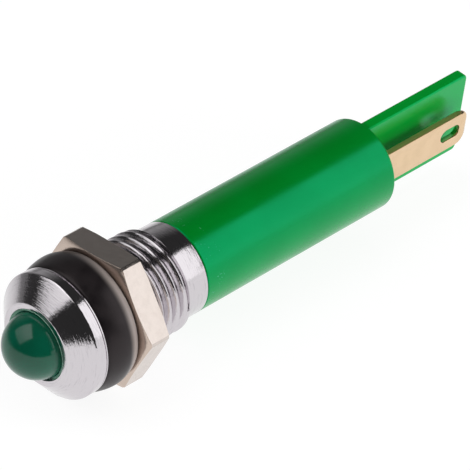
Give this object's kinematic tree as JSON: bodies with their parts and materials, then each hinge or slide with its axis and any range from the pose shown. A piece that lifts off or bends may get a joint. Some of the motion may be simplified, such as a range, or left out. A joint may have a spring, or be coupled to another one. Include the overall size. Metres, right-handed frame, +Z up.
{
  "type": "panel pilot light",
  "caption": "Small round panel indicator: LED in a chromed cone bezel on a threaded barrel, with gasket, hexagon nut, moulded body, insulating barrier and flat tab terminals.",
  "frame": {"origin": "centre of the bezel head's back face, the face that seats on the panel", "axes": "+Y along the lamp's axis from the LED towards the terminals, +Z up with the barrier standing upright, +X to the side of terminal_right"},
  "size_m": [0.0114, 0.0447, 0.0108],
  "materials": {
    "bright_chrome": "bright chrome plate on turned brass",
    "diffused_green": "diffused green epoxy, glossy",
    "clear_sealant": "clear sealing compound",
    "tinned_wire": "tinned",
    "natural_nylon": "moulded, satin",
    "black_rubber": "smooth moulded rubber",
    "nickel_plate": "nickel plate on brass, satin",
    "green_moulding": "moulded, semi-gloss",
    "tinned_brass": "stamped brass, satin",
    "board_laminate": "glass laminate with solder resist",
    "resistor_ceramic": "glazed ceramic",
    "diode_epoxy": "moulded epoxy",
    "solder": "bright solder",
    "potting_resin": "cast resin"
  },
  "bodies": {
    "lamp": {"bezel_bush": "bright_chrome", "led_lamp": "diffused_green", "led_anode_lead": "tinned_wire", "led_cathode_lead": "tinned_wire", "led_seal_ring": "clear_sealant", "led_holder": "natural_nylon", "sealing_gasket": "black_rubber", "body_shell": "green_moulding", "terminal_left": "tinned_brass", "terminal_right": "tinned_brass", "circuit_board": "board_laminate", "series_resistor_a": "resistor_ceramic", "series_resistor_a_caps": "solder", "series_resistor_b": "resistor_ceramic", "series_resistor_b_caps": "solder", "rectifier_diode": "diode_epoxy", "rectifier_diode_leads": "tinned_wire", "reverse_diode": "diode_epoxy", "reverse_diode_leads": "tinned_wire", "solder_anode": "solder", "solder_cathode": "solder", "solder_left_tab": "solder", "solder_right_tab": "solder", "resin_plug": "potting_resin"},
    "nut": {"hex_nut": "nickel_plate"}
  },
  "joints": [
    {"name": "nut_travel", "type": "slide", "parent": "lamp", "child": "nut", "axis": [0, 1, 0], "range_m": [0, 0.04]}
  ]
}
